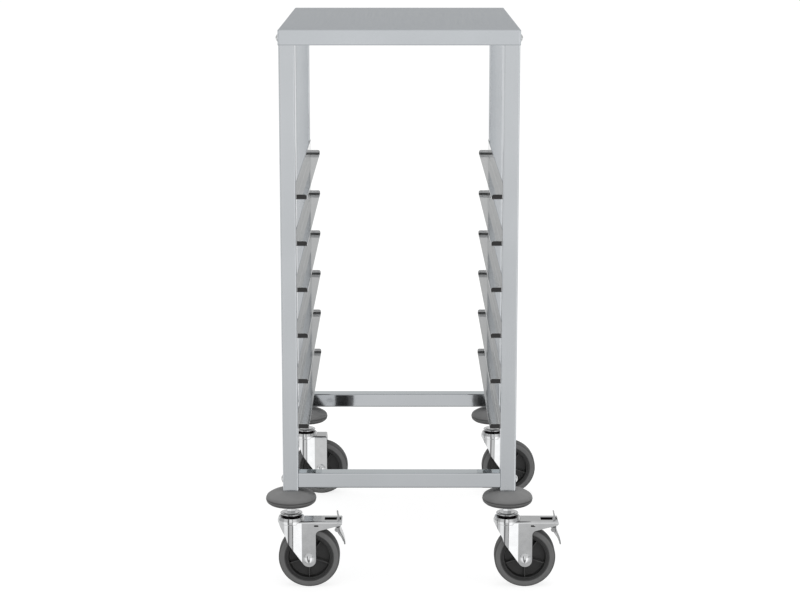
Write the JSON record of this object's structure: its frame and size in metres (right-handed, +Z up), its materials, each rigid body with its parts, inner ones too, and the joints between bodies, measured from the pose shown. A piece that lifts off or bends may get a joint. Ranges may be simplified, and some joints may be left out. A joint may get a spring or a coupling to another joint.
{
  "type": "gastronorm tray trolley",
  "caption": "Stainless trolley with a folded worktop on square tube legs, facing angle rails for gastronorm trays, disc bumpers and swivel casters, the front ones with foot brakes.",
  "frame": {"origin": "on the floor, at the middle of the four legs and of the casters' swivel axes", "axes": "+Z up, -Y to the front that the picture shows, +X to the right as seen from the front; at rest the casters trail to +X"},
  "size_m": [0.4825, 0.6054, 0.91],
  "materials": {
    "worktop_steel": "satin brushed stainless sheet, grain along the long side",
    "tube_steel": "satin polished stainless tube, grain along each tube",
    "rail_steel": "bright polished stainless angle",
    "screw_steel": "turned stainless dome head with a hex socket",
    "inner_steel": "plain machined steel",
    "bumper_rubber": "soft matte grey moulding",
    "zinc_bright": "bright zinc plate",
    "ball_steel": "polished bearing steel",
    "zinc_pressed": "zinc plated pressed sheet steel",
    "hub_plastic": "dark moulded plastic with fine ribs",
    "tyre_grey": "smooth mid grey thermoplastic rubber",
    "lever_steel": "zinc plated spring steel"
  },
  "bodies": {
    "frame": {"worktop": "worktop_steel", "leg_front_left": "tube_steel", "leg_front_right": "tube_steel", "leg_rear_left": "tube_steel", "leg_rear_right": "tube_steel", "crossbar_front": "tube_steel", "crossbar_rear": "tube_steel", "rail_left_1": "rail_steel", "rail_left_2": "rail_steel", "rail_left_3": "rail_steel", "rail_left_4": "rail_steel", "rail_left_5": "rail_steel", "rail_left_6": "rail_steel", "rail_right_1": "rail_steel", "rail_right_2": "rail_steel", "rail_right_3": "rail_steel", "rail_right_4": "rail_steel", "rail_right_5": "rail_steel", "rail_right_6": "rail_steel", "rail_stops": "rail_steel", "worktop_screws": "screw_steel", "worktop_nuts": "inner_steel", "crossbar_bolts": "screw_steel", "crossbar_plugs": "inner_steel", "foot_plugs": "inner_steel", "bumper_front_left": "bumper_rubber", "bumper_front_right": "bumper_rubber", "bumper_rear_left": "bumper_rubber", "bumper_rear_right": "bumper_rubber", "caster_stems": "zinc_bright", "swivel_caps": "zinc_bright", "race_washers": "zinc_bright", "bearing_balls": "ball_steel"},
    "swivel_front_left": {"fork_front_left": "zinc_pressed", "axle_bolt_front_left": "zinc_bright", "axle_sleeve_front_left": "inner_steel", "brake_pin_front_left": "zinc_bright"},
    "wheel_front_left": {"wheel_hub_front_left": "hub_plastic", "tyre_front_left": "tyre_grey"},
    "brake_front_left": {"brake_lever_front_left": "lever_steel"},
    "swivel_front_right": {"fork_front_right": "zinc_pressed", "axle_bolt_front_right": "zinc_bright", "axle_sleeve_front_right": "inner_steel", "brake_pin_front_right": "zinc_bright"},
    "wheel_front_right": {"wheel_hub_front_right": "hub_plastic", "tyre_front_right": "tyre_grey"},
    "brake_front_right": {"brake_lever_front_right": "lever_steel"},
    "swivel_rear_left": {"fork_rear_left": "zinc_pressed", "axle_bolt_rear_left": "zinc_bright", "axle_sleeve_rear_left": "inner_steel"},
    "wheel_rear_left": {"wheel_hub_rear_left": "hub_plastic", "tyre_rear_left": "tyre_grey"},
    "swivel_rear_right": {"fork_rear_right": "zinc_pressed", "axle_bolt_rear_right": "zinc_bright", "axle_sleeve_rear_right": "inner_steel"},
    "wheel_rear_right": {"wheel_hub_rear_right": "hub_plastic", "tyre_rear_right": "tyre_grey"}
  },
  "joints": [
    {"name": "swivel_front_left", "type": "hinge", "parent": "frame", "child": "swivel_front_left", "pos_m": [-0.1765, -0.2615, 0.11], "axis": [0, 0, 1], "continuous": true},
    {"name": "roll_front_left", "type": "hinge", "parent": "swivel_front_left", "child": "wheel_front_left", "pos_m": [-0.1475, -0.2615, 0.05], "axis": [0, 1, 0], "continuous": true},
    {"name": "brake_front_left", "type": "hinge", "parent": "swivel_front_left", "child": "brake_front_left", "pos_m": [-0.1, -0.2615, 0.1087], "axis": [0, 1, 0], "range_deg": [0, 14.5]},
    {"name": "swivel_front_right", "type": "hinge", "parent": "frame", "child": "swivel_front_right", "pos_m": [0.1765, -0.2615, 0.11], "axis": [0, 0, 1], "continuous": true},
    {"name": "roll_front_right", "type": "hinge", "parent": "swivel_front_right", "child": "wheel_front_right", "pos_m": [0.2055, -0.2615, 0.05], "axis": [0, 1, 0], "continuous": true},
    {"name": "brake_front_right", "type": "hinge", "parent": "swivel_front_right", "child": "brake_front_right", "pos_m": [0.253, -0.2615, 0.1087], "axis": [0, 1, 0], "range_deg": [0, 14.5]},
    {"name": "swivel_rear_left", "type": "hinge", "parent": "frame", "child": "swivel_rear_left", "pos_m": [-0.1765, 0.2615, 0.11], "axis": [0, 0, 1], "continuous": true},
    {"name": "roll_rear_left", "type": "hinge", "parent": "swivel_rear_left", "child": "wheel_rear_left", "pos_m": [-0.1475, 0.2615, 0.05], "axis": [0, 1, 0], "continuous": true},
    {"name": "swivel_rear_right", "type": "hinge", "parent": "frame", "child": "swivel_rear_right", "pos_m": [0.1765, 0.2615, 0.11], "axis": [0, 0, 1], "continuous": true},
    {"name": "roll_rear_right", "type": "hinge", "parent": "swivel_rear_right", "child": "wheel_rear_right", "pos_m": [0.2055, 0.2615, 0.05], "axis": [0, 1, 0], "continuous": true}
  ]
}
